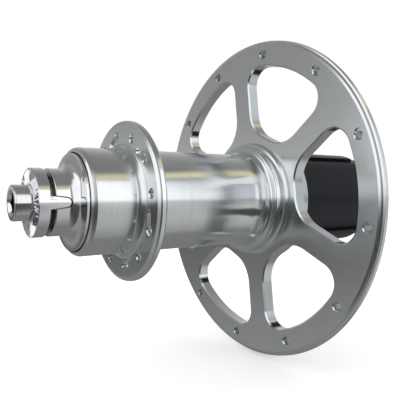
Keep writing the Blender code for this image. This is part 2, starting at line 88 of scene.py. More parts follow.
# ---- places read from the frame ----
SHELL_LOW, SHELL_HIGH = box_mm("hub_shell")
RIGHT_CAP_HIGH = box_mm("right_end_cap")[1]
CONE_LOW, CONE_HIGH = box_mm("left_preload_cone")
FREEHUB_LOW, FREEHUB_HIGH = box_mm("freehub_body")
CLIP_LOW, CLIP_HIGH = box_mm("freehub_circlip")
DROPOUT_X = mount_x("right_dropout_face")
SMALL_FLANGE_X = mount_x("small_flange_face")
BIG_FLANGE_X = mount_x("large_flange_face")
STUB_LENGTH = RIGHT_CAP_HIGH.x - DROPOUT_X

# ---- hub shell ----
BARREL_FACE_X = SHELL_LOW.x
BARREL_R = 15.86
WAIST_R = 15.8
MOUTH_R = 14.45
SMALL_FLANGE_THICK = 2.7
SMALL_FLANGE_R = 24.56
SMALL_HOLE_CIRCLE_R = 19.9
SMALL_HOLE_START_DEG = 24.0
BIG_FLANGE_THICK = 4.5
BIG_FLANGE_R = SHELL_HIGH.z
BIG_HOLE_CIRCLE_R = 51.4
BIG_HOLE_START_DEG = 9.45
SPOKE_HOLES = 12
SPOKE_HOLE_R = 1.25
SPOKE_HOLE_CHAMFER = 0.3
BOSS_R = 22.0
BOSS_END_X = SHELL_HIGH.x
RATCHET_BORE_R = 20.2
RATCHET_SEAT_X = 13.0
FILLET_R = 2.5
SHELL_BORE_R = 14.1

# ---- windows of the large flange ----
WINDOWS = 6
WINDOW_START_DEG = 24.5
ARM_HALF_WIDTH = 4.15
WINDOW_OUTER_R = 47.6
WINDOW_INNER_R = 23.2
WINDOW_OUTER_CORNER_R = 6.0
WINDOW_INNER_CORNER_R = 11.2
WINDOW_CHAMFER = 0.45

# ---- reliefs beside the spoke holes ----
SLOT_END_R = 18.6                         # inner end of the slanted slots of the small flange
SLOT_END_DEG = 14.0
SLOT_HALF_WIDTH = 0.85
SLOT_DEPTH = 0.7
SLOT_CHAMFER = 0.25
NICK_SHIFT = 0.95                         # the large flange's nicks, beside each hole
NICK_SHIFT_OUT = 0.25
NICK_R = 1.3
NICK_DEPTH = 0.5

# ---- bearings ----
BALL_PITCH_R = 10.75
BALL_R = 1.65
BALLS = 10
BEARINGS = ("left_bearing", "right_bearing", "freehub_inner_bearing", "freehub_outer_bearing")

# ---- end caps and cone ----
STUB_R = 5.0
SKEWER_BORE_R = 2.6
CAP_R = 9.68
LEFT_RING_THICK = 3.2
SPIGOT_R = 5.1
SPIGOT_LENGTH = 11.0
ORING_GROOVE_R = 4.3
SOCKET_R = 3.15
SOCKET_DEPTH = 5.5
SERRATIONS = 40
SERRATION_DEPTH = 0.7
SERRATED_FROM_R = 5.5
SERRATED_TO_R = 9.45
SERRATED_RINGS = 5
CAP_FACETS = 8 * SERRATIONS
AXLE_HOLE_R = 7.6
SLEEVE_R = 9.4
CONE_R = 9.6
CONE_LIP_R = CONE_HIGH.z
FLARE_STEPS = 24
KEY_ROOT_HALF = 1.9                       # half width where the key leaves the ring
KEY_NOSE_HALF = 1.2
KEY_TIP_X = -58.9
KEY_INNER_R = 8.2
KEY_GAP = 0.35

# ---- freehub ----
FREEHUB_R = FREEHUB_HIGH.z
FREEHUB_SHOULDER_X = 19.7
FREEHUB_STEP_X = 60.0                     # where the body narrows for the last sprocket
FREEHUB_NECK_R = 16.05
CARRIER_R = 15.6
CARRIER_BORE_R = 10.4
LOCKRING_BORE_R = 15.3
KEYWAY_DEGS = (32.5, 132.5, 232.5, 312.5)
KEYWAY_WIDTH = 3.4
KEYWAY_FLOOR_R = 16.2
KEYWAY_LEFT_X = 24.0
PAWLS = 3
PAWL_START_DEG = 90.0
PAWL_PIVOT_R = 13.5
POCKET_RIGHT_X = 17.7

# ---- light and floor ----
# The studio's walls, as levels of grey or colour against height, a sine from -1 to 1.
WALL_BEHIND = ((-1.0, 0.22), (-0.8, 0.23), (-0.55, 0.22), (-0.3, 0.29), (-0.2, 0.21), (-0.12, 0.13),
               (-0.02, 0.14), (0.03, 0.52), (0.08, 0.46), (0.15, 0.32), (0.35, 0.27), (0.5, 0.36),
               (0.7, 0.30), (1.0, 0.22))
WALL_BACK_RIGHT = ((-1.0, 0.22), (-0.8, 0.22), (-0.5, 0.20), (-0.1, 0.25), (0.0, 0.55), (0.3, 0.60),
                   (0.62, 0.45), (0.82, 0.31), (0.95, 0.22), (1.0, 0.22))
WALL_RIGHT = ((-1.0, 0.22), (-0.88, 0.32), (-0.7, 0.46), (-0.5, 0.55), (-0.2, 0.55), (-0.05, 0.33),
              (0.0, (0.30, 0.33, 0.36)), (0.1, (0.44, 0.48, 0.52)), (0.52, (0.52, 0.57, 0.60)),
              (0.66, 0.34), (0.695, (0.88, 0.82, 0.52)), (0.76, (0.80, 0.75, 0.46)), (0.80, 0.22),
              (1.0, 0.22))
SOFTBOX = ((-1.0, 0.22), (-0.92, 0.32), (-0.78, 0.43), (-0.58, 0.49), (-0.3, 0.54), (-0.08, 0.66),
           (-0.01, 0.70), (0.02, 1.35), (0.60, 1.35), (0.65, (0.86, 0.79, 0.62)),
           (0.71, (0.72, 0.63, 0.42)), (0.78, (0.46, 0.42, 0.30)), (0.84, 0.22), (1.0, 0.22))
WALL_LEFT = ((-1.0, 0.22), (-0.6, 0.30), (-0.1, 0.32), (-0.02, 0.6), (0.02, 1.2), (0.64, 1.2),
             (0.72, 0.4), (0.8, 0.25), (1.0, 0.22))
SCREEN = ((-1.0, 0.22), (-0.85, 0.12), (-0.6, 0.07), (-0.12, 0.08), (-0.02, 0.5), (0.03, 1.15),
          (0.74, 1.1), (0.84, 0.45), (0.9, 0.23), (1.0, 0.22))
SCREEN_EDGE = ((-1.0, 0.22), (-0.7, 0.12), (-0.5, 0.06), (-0.05, 0.08), (0.04, 0.26),
               (0.2, (0.40, 0.40, 0.43)), (0.6, (0.36, 0.36, 0.40)), (0.85, 0.25), (1.0, 0.22))
# Each zone: the middle as a compass angle (0 is +X, 90 is +Y), half width and softness in degrees.
# A later zone covers the ones before it.
ZONES = (
    (50, 32, 14, WALL_BACK_RIGHT),
    (-40, 22, 10, WALL_RIGHT),
    (-84, 29, 9, SOFTBOX),
    (-132, 56, 8, SCREEN),
    (-197, 13, 8, WALL_LEFT),
    (-103, 12, 6, SCREEN_EDGE),
)
SKY_STRENGTH = 1.5
FLOOR_SIDE = 8.0                          # in metres
FLOOR_DROP = 0.5                          # gap under the hub
FLOOR_GLOW = 0.3

# ---- finishes ----
# Painted shade: the metal's colour is darkened in holes, grooves and narrow gaps, where ambient occlusion
# finds the surface hemmed in.
CREVICE_SHADE_LEVEL = 0.12                      # how much of the metal's colour is left deep in a hole
CREVICE_SHADE_REACH = 2.5

# ---- camera ----
CAMERA_PLACE = Vector((-103.376, -135.619, 1.34))
CAMERA_YAW_DEG = 34.413                   # from +Y towards +X
CAMERA_PITCH_DEG = -0.512
CAMERA_ROLL_DEG = -0.747
CAMERA_LENS = 43.265
CAMERA_SENSOR = 36.0


# ---- outlines ----

def polar(radius, degrees):
    """The (y, z) point at this angle round the axle."""
    angle = math.radians(degrees)
    return -radius * math.sin(angle), radius * math.cos(angle)


def arc(centre, radius, start_deg, end_deg, steps):
    """Points along an arc, both ends included, with angles anticlockwise from the first axis."""
    points = []
    for i in range(steps + 1):
        angle = math.radians(start_deg + (end_deg - start_deg) * i / steps)
        points.append((centre[0] + radius * math.cos(angle), centre[1] + radius * math.sin(angle)))
    return points


def rounded(corners, steps=CORNER_STEPS):
    """A closed outline from (x, radius, corner radius) rows, with an arc at each rounded corner."""
    points = []
    for i, (x, r, corner) in enumerate(corners):
        here = Vector((x, r))
        if corner == 0:
            points.append((x, r))
            continue
        back = (Vector(corners[i - 1][:2]) - here).normalized()
        ahead = (Vector(corners[(i + 1) % len(corners)][:2]) - here).normalized()
        half_angle = back.angle(ahead) / 2
        to_centre = (back + ahead).normalized() * (corner / math.sin(half_angle))
        tangent = corner / math.tan(half_angle)
        start = back * tangent - to_centre
        end = ahead * tangent - to_centre
        for k in range(steps + 1):
            spoke = start.lerp(end, k / steps).normalized() * corner
            point = here + to_centre + spoke
            points.append((point.x, point.y))
    return points


def mirrored(corners):
    """The same corners for the other end of the axle."""
    return [(-x, r, corner) for x, r, corner in corners]


# ---- meshes ----

def spin(builder, outline, facets):
    """Spin a closed outline of (x, radius) points a full turn about the axle."""
    rings = []
    for x, r in outline:
        ring = []
        for k in range(facets):
            y, z = polar(r, 360 * k / facets)
            ring.append(builder.verts.new((x * MM, y * MM, z * MM)))
        rings.append(ring)
    for first, second in zip(rings, rings[1:] + rings[:1]):
        for k in range(facets):
            j = (k + 1) % facets
            builder.faces.new((first[k], second[k], second[j], first[j]))


def add_loft(builder, layers, matrix=None):
    """A closed solid through layers of (x, outline), whose outlines have equally many points."""
    rings = []
    for x, outline in layers:
        rings.append([builder.verts.new((x * MM, y * MM, z * MM)) for y, z in outline])
    for first, second in zip(rings, rings[1:]):
        for k in range(len(first)):
            j = (k + 1) % len(first)
            builder.faces.new((first[k], second[k], second[j], first[j]))
    builder.faces.new(rings[0])
    builder.faces.new(rings[-1][::-1])
    if matrix:
        bmesh.ops.transform(builder, matrix=matrix, verts=[v for ring in rings for v in ring])


def make_object(name, builder, material=None):
    """Turn a builder into an object in the scene, and free the builder."""
    bmesh.ops.recalc_face_normals(builder, faces=builder.faces)
    mesh = bpy.data.meshes.new(name)
    builder.to_mesh(mesh)
    builder.free()
    if material:
        mesh.materials.append(material)
    obj = bpy.data.objects.new(name, mesh)
    bpy.context.scene.collection.objects.link(obj)
    finish_mesh(obj)
    return obj


def finish_mesh(obj):
    """Smooth round faces and crisp corners."""
    obj.data.shade_smooth()
    obj.data.set_sharp_from_angle(angle=math.radians(SHARP_DEG))


def carve(target, builder, operation="DIFFERENCE"):
    """Cut or join a solid, keep the result as the target's mesh and drop the tool."""
    tool = make_object("tool", builder)
    modifier = target.modifiers.new("carve", "BOOLEAN")
    modifier.operation = operation
    modifier.solver = "EXACT"
    modifier.object = tool
    bpy.context.view_layer.update()
    evaluated = target.evaluated_get(bpy.context.evaluated_depsgraph_get())
    mesh = bpy.data.meshes.new_from_object(evaluated)
    target.modifiers.clear()
    old = target.data
    target.data = mesh
    bpy.data.meshes.remove(old)
    tool_mesh = tool.data
    bpy.data.objects.remove(tool)
    bpy.data.meshes.remove(tool_mesh)
    mesh.name = target.name
    finish_mesh(target)


def even_shading(obj):
    """Let the large flat faces lead the shading at their edges."""
    modifier = obj.modifiers.new("even_shading", "WEIGHTED_NORMAL")
    modifier.keep_sharp = True
    modifier.weight = 80


def place(obj, body, slot_name, *nodes):
    """Let the object ride a body in place of its CAD nodes."""
    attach(obj, body)
    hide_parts(*nodes)


def round_x(degrees):
    """Turn about the axle, from +Z towards -Y."""
    return Matrix.Rotation(math.radians(degrees), 4, "X")


def shift(x=0.0, y=0.0, z=0.0):
    return Matrix.Translation((x * MM, y * MM, z * MM))


# ---- finishes ----

def link(tree, source, target):
    tree.links.new(source, target)


def math_node(tree, operation, first, second=None):
    node = tree.nodes.new("ShaderNodeMath")
    node.operation = operation
    for socket, value in zip(node.inputs, (first, second)):
        if value is None:
            continue
        if isinstance(value, (int, float)):
            socket.default_value = value
        else:
            link(tree, value, socket)
    return node.outputs[0]


def map_range(tree, value, from_low, from_high, to_low, to_high, smooth=False):
    node = tree.nodes.new("ShaderNodeMapRange")
    node.interpolation_type = "SMOOTHSTEP" if smooth else "LINEAR"
    link(tree, value, node.inputs["Value"])
    node.inputs["From Min"].default_value = from_low
    node.inputs["From Max"].default_value = from_high
    node.inputs["To Min"].default_value = to_low
    node.inputs["To Max"].default_value = to_high
    return node.outputs["Result"]


def noise(tree, vector, scale, detail=2.0, roughness=0.5):
    node = tree.nodes.new("ShaderNodeTexNoise")
    link(tree, vector, node.inputs["Vector"])
    node.inputs["Scale"].default_value = scale
    node.inputs["Detail"].default_value = detail
    node.inputs["Roughness"].default_value = roughness
    return node.outputs["Fac"]


def average(tree, first, second):
    return math_node(tree, "ADD", math_node(tree, "MULTIPLY", first, 0.5),
                     math_node(tree, "MULTIPLY", second, 0.5))


def mix_node(tree, factor):
    """A colour mix, as its two inputs and its result."""
    node = tree.nodes.new("ShaderNodeMix")
    node.data_type = "RGBA"
    link(tree, factor, node.inputs[0])
    return node.inputs[6], node.inputs[7], node.outputs[2]


def mix_colour(tree, factor, first, second):
    """Mix two fixed colours."""
    low, high, result = mix_node(tree, factor)
    low.default_value = (*first, 1.0)
    high.default_value = (*second, 1.0)
    return result


def blend_colours(tree, factor, first, second):
    """Mix two colours that other nodes make."""
    low, high, result = mix_node(tree, factor)
    link(tree, first, low)
    link(tree, second, high)
    return result


def new_material(name, metallic):
    material = bpy.data.materials.new(name)
    material.use_nodes = True
    shader = material.node_tree.nodes["Principled BSDF"]
    shader.inputs["Metallic"].default_value = metallic
    return material, material.node_tree, shader


def turned_coordinates(tree):
    """Coordinates that hardly change round the axle, so that noise makes lathe lines, and plain ones."""
    plain = tree.nodes.new("ShaderNodeTexCoord").outputs["Object"]
    parts = tree.nodes.new("ShaderNodeSeparateXYZ")
    link(tree, plain, parts.inputs[0])
    squares = [math_node(tree, "MULTIPLY", parts.outputs[i], parts.outputs[i]) for i in (1, 2)]
    radius = math_node(tree, "SQRT", math_node(tree, "ADD", *squares))
    angle = math_node(tree, "ARCTAN2", parts.outputs[1], parts.outputs[2])
    joined = tree.nodes.new("ShaderNodeCombineXYZ")
    link(tree, parts.outputs[0], joined.inputs[0])
    link(tree, radius, joined.inputs[1])
    link(tree, math_node(tree, "MULTIPLY", angle, 0.00004), joined.inputs[2])
    return joined.outputs[0], plain


def add_bump(tree, shader, height, strength, distance_mm):
    node = tree.nodes.new("ShaderNodeBump")
    node.inputs["Strength"].default_value = strength
    node.inputs["Distance"].default_value = distance_mm * MM
    link(tree, height, node.inputs["Height"])
    link(tree, node.outputs["Normal"], shader.inputs["Normal"])


def painted_crevice_shade(tree, colour):
    """The colour, darkened as painted shade where ambient occlusion finds the surface hemmed in: in holes,
    grooves and narrow gaps.
    """
    occlusion = tree.nodes.new("ShaderNodeAmbientOcclusion")
    occlusion.samples = 4
    occlusion.inputs["Distance"].default_value = CREVICE_SHADE_REACH * MM
    unshaded = map_range(tree, occlusion.outputs["AO"], 0.2, 0.55, 0.0, 1.0, True)
    return blend_colours(tree, unshaded, painted_shade_tint(tree, colour), colour)


def painted_shade_tint(tree, colour):
    # The colour scaled down to the painted shade deep in a crevice.
    node = tree.nodes.new("ShaderNodeVectorMath")
    node.operation = "SCALE"
    link(tree, colour, node.inputs[0])
    node.inputs["Scale"].default_value = CREVICE_SHADE_LEVEL
    return node.outputs[0]


def turned_metal(name, light, dark, rough_low, rough_high, line_pitch_mm, bump_mm, stretch=0.0,
                 metallic=1.0, specular=0.5):
    """Lathe-turned metal: fine lines round the axle, clouding from handling, softened gloss and painted
    shade in its crevices.
    """
    material, tree, shader = new_material(name, metallic)
    lathe, plain = turned_coordinates(tree)
    lines = noise(tree, lathe, 1 / (line_pitch_mm * MM), 3.0, 0.6)
    clouds = noise(tree, plain, 90.0, 4.0, 0.6)
    colour_mix = average(tree, lines, clouds)
    colour = mix_colour(tree, map_range(tree, colour_mix, 0.35, 0.65, 0.0, 1.0), light, dark)
    # Painted shade: the base colour darkens in holes, grooves and narrow gaps.
    link(tree, painted_crevice_shade(tree, colour), shader.inputs["Base Color"])
    link(tree, map_range(tree, colour_mix, 0.3, 0.7, rough_low, rough_high),
         shader.inputs["Roughness"])
    shader.inputs["Specular IOR Level"].default_value = specular
    if stretch:
        shader.inputs["Anisotropic"].default_value = stretch
        shader.inputs["Anisotropic Rotation"].default_value = 0.25
        tangent = tree.nodes.new("ShaderNodeTangent")
        tangent.direction_type = "RADIAL"
        tangent.axis = "X"
        link(tree, tangent.outputs[0], shader.inputs["Tangent"])
    add_bump(tree, shader, lines, 0.5, bump_mm)
    return material


def plain_finish(name, light, dark, rough_low, rough_high, grain_mm, bump_mm, metallic):
    """Steel, anodised or rubber surface with an even grain and slight staining."""
    material, tree, shader = new_material(name, metallic)
    coordinates = tree.nodes.new("ShaderNodeTexCoord").outputs["Object"]
    grain = noise(tree, coordinates, 1 / (grain_mm * MM), 3.0, 0.6)
    stains = noise(tree, coordinates, 140.0, 4.0, 0.6)
    link(tree, mix_colour(tree, map_range(tree, stains, 0.35, 0.65, 0.0, 1.0), light, dark),
         shader.inputs["Base Color"])
    link(tree, map_range(tree, average(tree, grain, stains), 0.35, 0.65, rough_low, rough_high),
         shader.inputs["Roughness"])
    add_bump(tree, shader, grain, 0.4, bump_mm)
    return material


def make_finishes():
    return {
        "polished_aluminium": turned_metal(
            "turned_aluminium", (0.82, 0.845, 0.855), (0.76, 0.785, 0.795), 0.14, 0.22, 0.5, 0.003, 0.5),
        "mirror_aluminium": turned_metal(
            "mirror_aluminium", (0.84, 0.85, 0.87), (0.78, 0.79, 0.81), 0.05, 0.10, 0.8, 0.001, 0.3),
        "black_anodised": turned_metal(
            "black_anodised", (0.006, 0.007, 0.012), (0.004, 0.005, 0.009), 0.28, 0.38, 0.6, 0.003,
            0.0, 0.0, 0.28),
        "axle_aluminium": turned_metal(
            "satin_aluminium", (0.62, 0.63, 0.65), (0.54, 0.55, 0.57), 0.34, 0.46, 0.3, 0.004, 0.4),
        "bearing_steel": turned_metal(
            "ground_steel", (0.60, 0.61, 0.62), (0.52, 0.52, 0.53), 0.12, 0.22, 0.25, 0.002, 0.3),
        "hardened_steel": plain_finish(
            "hardened_steel", (0.33, 0.31, 0.29), (0.24, 0.23, 0.23), 0.32, 0.5, 0.15, 0.01, 1.0),
        "spring_steel": plain_finish(
            "spring_steel", (0.50, 0.50, 0.52), (0.40, 0.40, 0.43), 0.22, 0.36, 0.12, 0.004, 1.0),
        "seal_rubber": plain_finish(
            "seal_rubber", (0.030, 0.030, 0.031), (0.020, 0.020, 0.020), 0.6, 0.78, 0.1, 0.015, 0.0),
    }


# ---- hub shell ----

def small_flange_corners():
    """The barrel sweeps up to the small flange, whose rim has a slight crown."""
    face = SMALL_FLANGE_X
    back = face + SMALL_FLANGE_THICK
    rim = SMALL_FLANGE_R
    sweep = 1.3                           # the long fillet that leads from the barrel to the face
    return [(face - sweep, BARREL_R, 3.0), (face, BARREL_R + sweep, 1.2),
            (face, rim - 1.3, 0.1), (face + 0.45, rim - 0.22, 0.1), (face + 0.9, rim - 0.06, 0.15),
            (face + 2.0, rim, 0.25), (back, rim - 0.76, 0.15), (back, WAIST_R, FILLET_R)]


def step_ring_corners():
    """The waist flares into a narrow land, then two rounded rings lead to the large flange."""
    root = BIG_FLANGE_X
    return [(root - 9.0, WAIST_R, 11.5), (root - 6.85, 16.58, 0.1), (root - 4.4, 16.62, 1.25),
            (root - 4.35, 18.75, 0.7), (root - 2.35, 18.95, 0.3), (root - 1.95, 18.45, 0.15),
            (root - 1.35, 18.5, 0.12), (root - 1.0, 19.65, 0.25), (root - 0.15, 20.3, 0.3),
            (root, 20.35, 0)]


def big_flange_corners():
    """The rim rises in two bevels, with a narrow sloped land between them, to a slight crown."""
    face = BIG_FLANGE_X
    back = face + BIG_FLANGE_THICK
    rim = BIG_FLANGE_R
    return [(face, rim - 1.75, 0.1), (face + 0.3, rim - 1.12, 0.1), (face + 0.85, rim - 0.75, 0.1),
            (face + 1.0, rim - 0.18, 0.12), (face + 2.1, rim, 0.4), (back, rim - 2.4, 0.3),
            (back, BOSS_R, 0.8), (BOSS_END_X, BOSS_R, 0.5)]


def shell_bore_corners():
    """The bores, from the drive side to the left: ratchet, bearing, waist, bearing, mouth."""
    right_seat = box_mm("right_bearing_outer_race")[0].x - END_GAP
    left_seat = box_mm("left_bearing_outer_race")[1].x + END_GAP
    shoulder_r, relief_r = 12.7, 13.5
    mouth_end = BARREL_FACE_X + 1.6
    return [(BOSS_END_X, RATCHET_BORE_R, 0.2), (RATCHET_SEAT_X, RATCHET_BORE_R, 0.3),
            (RATCHET_SEAT_X, SHELL_BORE_R, 0.2), (right_seat, SHELL_BORE_R, 0.2),
            (right_seat, shoulder_r, 0.2), (right_seat - 3, shoulder_r, 0.2),
            (right_seat - 4, relief_r, 0.3), (left_seat + 4, relief_r, 0.3),
            (left_seat + 3, shoulder_r, 0.2), (left_seat, shoulder_r, 0.2),
            (left_seat, SHELL_BORE_R, 0.2), (mouth_end, SHELL_BORE_R, 0), (mouth_end, MOUTH_R, 0)]


def window_outline(grow):
    """One window, pointing up, as (y, z) points, offset outwards by grow."""
    half_pitch = 180 / WINDOWS
    corners = ((WINDOW_OUTER_R + grow, -1, WINDOW_OUTER_CORNER_R + grow),
               (WINDOW_INNER_R - grow, 1, WINDOW_INNER_CORNER_R + grow))
    half = []
    for edge_r, direction, corner_r in corners:
        off_arm = ARM_HALF_WIDTH - grow + corner_r
        from_axis = edge_r + direction * corner_r
        along_arm = math.sqrt(from_axis ** 2 - off_arm ** 2)
        to_edge = math.degrees(math.atan2(off_arm, along_arm))
        ends = (to_edge, -90) if direction < 0 else (-90, to_edge - 180)
        half += arc((along_arm, off_arm), corner_r, *ends, 14)
    turns = [(math.hypot(*point), math.degrees(math.atan2(point[1], point[0]))) for point in half]
    falling = [polar(r, turn - half_pitch) for r, turn in turns]
    rising = [polar(r, half_pitch - turn) for r, turn in reversed(turns)]
    edge_turn = half_pitch - turns[0][1]
    edge = [polar(WINDOW_OUTER_R + grow, edge_turn - 2 * edge_turn * i / 16) for i in range(1, 16)]
    return falling + rising + edge


def circle(centre, radius):
    return arc(centre, radius, 0, 360 - 360 / CIRCLE_FACETS, CIRCLE_FACETS - 1)


def chamfered_layers(face, back, outline_at, chamfer):
    """Layers for a cutter that passes through a plate and opens at 45 degrees at both faces."""
    past = 0.4
    return [(face - past, outline_at(chamfer + past)), (face + chamfer, outline_at(0.0)),
            (back - chamfer, outline_at(0.0)), (back + past, outline_at(chamfer + past))]


def capsule(start, end, radius):
    """An outline of (y, z) points round a straight groove with round ends."""
    lean = math.degrees(math.atan2(end[1] - start[1], end[0] - start[0]))
    return arc(start, radius, lean + 90, lean + 270, 14) + arc(end, radius, lean - 90, lean + 90, 14)


def add_round_pattern(builder, layers, count, start_deg, out=0.0):
    """Copies of a solid at even angles round the axle, each moved out from it."""
    for i in range(count):
        add_loft(builder, layers, round_x(start_deg + i * 360 / count) @ shift(z=out))


def window_cutter():
    back = BIG_FLANGE_X + BIG_FLANGE_THICK
    builder = bmesh.new()
    add_round_pattern(builder, chamfered_layers(BIG_FLANGE_X, back, window_outline, WINDOW_CHAMFER),
                      WINDOWS, WINDOW_START_DEG)
    return builder


def nick_cutter():
    """Shallow round nicks beside the spoke holes of the large flange."""
    hole_y, hole_z = polar(BIG_HOLE_CIRCLE_R, 0)
    beside = (hole_y + NICK_SHIFT, hole_z + NICK_SHIFT_OUT)
    builder = bmesh.new()
    layers = [(BIG_FLANGE_X - 1, circle(beside, NICK_R)),
              (BIG_FLANGE_X + NICK_DEPTH, circle(beside, NICK_R - 0.2))]
    add_round_pattern(builder, layers, SPOKE_HOLES, BIG_HOLE_START_DEG)
    return builder


def slot_cutter():
    """Slanted slots with sloped sides, at every second spoke hole of the small flange."""
    start, end = polar(SMALL_HOLE_CIRCLE_R, 0), polar(SLOT_END_R, -SLOT_END_DEG)
    layers = []
    for depth, wider in ((-1.2, SLOT_CHAMFER), (0, SLOT_CHAMFER), (0.2, 0), (SLOT_DEPTH, -0.4)):
        layers.append((SMALL_FLANGE_X + depth, capsule(start, end, SLOT_HALF_WIDTH + wider)))
    builder = bmesh.new()
    add_round_pattern(builder, layers, SPOKE_HOLES // 2, SMALL_HOLE_START_DEG + 360 / SPOKE_HOLES)
    return builder


def spoke_hole_outline(grow):
    return circle((0, 0), SPOKE_HOLE_R + grow)


def spoke_hole_cutter():
    builder = bmesh.new()
    flanges = ((SMALL_FLANGE_X, SMALL_FLANGE_THICK, SMALL_HOLE_CIRCLE_R, SMALL_HOLE_START_DEG),
               (BIG_FLANGE_X, BIG_FLANGE_THICK, BIG_HOLE_CIRCLE_R, BIG_HOLE_START_DEG))
    for face, thick, circle_r, start_deg in flanges:
        layers = chamfered_layers(face, face + thick, spoke_hole_outline, SPOKE_HOLE_CHAMFER)
        add_round_pattern(builder, layers, SPOKE_HOLES, start_deg, circle_r)
    return builder


def make_shell(finish):
    corners = [(BARREL_FACE_X, MOUTH_R, 0.1), (BARREL_FACE_X, MOUTH_R + 0.45, 0.12),
               (BARREL_FACE_X + 0.45, BARREL_R - 0.36, 0.2), (BARREL_FACE_X + 1.35, BARREL_R, 0.4)]
    corners += small_flange_corners() + step_ring_corners() + big_flange_corners()
    corners += shell_bore_corners()
    builder = bmesh.new()
    spin(builder, rounded(corners), FINE)
    shell = make_object("shell", builder, finish)
    for cutter in (window_cutter(), nick_cutter(), slot_cutter(), spoke_hole_cutter()):
        carve(shell, cutter)
    even_shading(shell)
    place(shell, "hub_shell", "polished_aluminium", "hub_shell")


# ---- end caps and preload cone ----

def serrate(builder, face_x, inward):
    """Cut uneven radial teeth in a cap's face, less deep at every second ring, so that they form points."""
    ring_step = (SERRATED_TO_R - SERRATED_FROM_R) / (SERRATED_RINGS - 1)
    for vert in builder.verts:
        x, y, z = vert.co / MM
        radius = math.hypot(y, z)
        if abs(x - face_x) < 0.01 and SERRATED_FROM_R - 0.01 < radius < SERRATED_TO_R + 0.01:
            turn = math.atan2(-y, z) / (2 * math.pi) * SERRATIONS
            ring = round((radius - SERRATED_FROM_R) / ring_step)
            uneven = 0.5 + 0.5 * math.sin(5 * math.floor(turn) + 2 * ring) ** 2
            depth = SERRATION_DEPTH * uneven * (1.0 if ring % 2 else 0.5)
            vert.co.x += inward * depth * abs(2 * (turn % 1) - 1) * MM


def end_cap_corners(ring):
    """A stub for the dropout, a serrated face, a ring given by its corners, and a spigot."""
    stub_end = -DROPOUT_X - STUB_LENGTH
    ring_end = ring[-1][0]
    groove = ring_end + 6.0
    spigot_end = ring_end + SPIGOT_LENGTH
    corners = [(stub_end, SKEWER_BORE_R, 0.15), (stub_end, STUB_R, 0.4), (-DROPOUT_X, STUB_R, 0.1)]
    for i in range(SERRATED_RINGS):
        share = i / (SERRATED_RINGS - 1)
        corners.append((-DROPOUT_X, SERRATED_FROM_R + share * (SERRATED_TO_R - SERRATED_FROM_R), 0))
    corners += ring
    corners += [(ring_end, SPIGOT_R, 0.1), (groove, SPIGOT_R, 0), (groove, ORING_GROOVE_R, 0),
                (groove + 1.2, ORING_GROOVE_R, 0), (groove + 1.2, SPIGOT_R, 0),
                (spigot_end, SPIGOT_R, 0.4), (spigot_end, SKEWER_BORE_R, 0.15)]
    return corners


def socket_cutters(stub_end, inward):
    """The hexagonal socket, and the round countersink at its mouth."""
    hexagon = arc((0, 0), SOCKET_R, 0, 300, 5)
    ends = ((stub_end - inward, hexagon), (stub_end + inward * SOCKET_DEPTH, hexagon))
    mouth = ((stub_end - inward * 0.4, circle((0, 0), SOCKET_R + 1.1)),
             (stub_end + inward * 0.8, circle((0, 0), SOCKET_R - 0.3)))
    cutters = []
    for layers in (ends, mouth):
        builder = bmesh.new()
        add_loft(builder, sorted(layers))
        cutters.append(builder)
    return cutters


def key_solid(gap, low_r, high_r):
    """The tapered locking key on the -Y side, as a solid between two distances from the axis."""
    root_x = -DROPOUT_X + LEFT_RING_THICK - 1.2
    root_half = KEY_ROOT_HALF + gap
    outline = [(root_x, root_half), (root_x, -root_half)]
    outline += arc((KEY_TIP_X - KEY_NOSE_HALF, 0), KEY_NOSE_HALF + gap, -80, 80, 16)
    builder = bmesh.new()
    add_loft(builder, [(low_r, outline), (high_r, outline)],
             Matrix.Rotation(math.radians(-90), 4, "Z"))
    return builder


def make_key():
    """The key has the same round outside as the ring it grows from."""
    root_x, top_r = -DROPOUT_X + 1, CAP_R - 0.02
    builder = bmesh.new()
    spin(builder, [(root_x, KEY_INNER_R), (root_x, top_r), (KEY_TIP_X + 1, top_r),
                   (KEY_TIP_X + 1, KEY_INNER_R)], CAP_FACETS)
    key = make_object("key", builder)
    carve(key, key_solid(0.0, KEY_INNER_R - 2, CAP_R + 2), "INTERSECT")
    return key


def take_mesh(obj):
    """The object's mesh as a builder, with the object gone."""
    builder = bmesh.new()
    builder.from_mesh(obj.data)
    mesh = obj.data
    bpy.data.objects.remove(obj)
    bpy.data.meshes.remove(mesh)
    return builder


def make_left_cap(finish):
    """The cap on the small-flange side, with its locking key."""
    ring_end = -DROPOUT_X + LEFT_RING_THICK
    ring = [(-DROPOUT_X, CAP_R, 0.2), (ring_end, CAP_R, 0.2)]
    builder = bmesh.new()
    spin(builder, rounded(end_cap_corners(ring)), CAP_FACETS)
    serrate(builder, -DROPOUT_X, 1)
    cap = make_object("left_cap", builder, finish)
    carve(cap, take_mesh(make_key()), "UNION")
    for cutter in socket_cutters(-DROPOUT_X - STUB_LENGTH, 1):
        carve(cap, cutter)
    even_shading(cap)
    place(cap, "axle", "polished_aluminium", "left_end_cap")


def make_right_cap(finish):
    """The drive-side cap, drawn as a left one and mirrored, with a shield over the outer bearing."""
    shield_left = -CLIP_HIGH.x - 1.9
    shield_right = shield_left + 1.0
    race_x = -box_mm("freehub_outer_bearing_inner_race")[1].x - END_GAP
    shield_r = RIGHT_CAP_HIGH.z
    pocket_x = -box_mm("axle")[1].x - END_GAP
    ring = [(-DROPOUT_X, CAP_R, 0.25), (shield_left, CAP_R, 0.5), (shield_left, shield_r, 0.3),
            (shield_right, shield_r, 0.1), (shield_right, SLEEVE_R, 0.3), (race_x, SLEEVE_R, 0.2),
            (race_x, AXLE_HOLE_R, 0.1), (pocket_x, AXLE_HOLE_R, 0)]
    builder = bmesh.new()
    spin(builder, rounded(mirrored(end_cap_corners(ring))), CAP_FACETS)
    serrate(builder, DROPOUT_X, -1)
    cap = make_object("right_cap", builder, finish)
    for cutter in socket_cutters(DROPOUT_X + STUB_LENGTH, -1):
        carve(cap, cutter)
    even_shading(cap)
    place(cap, "axle", "polished_aluminium", "right_end_cap")


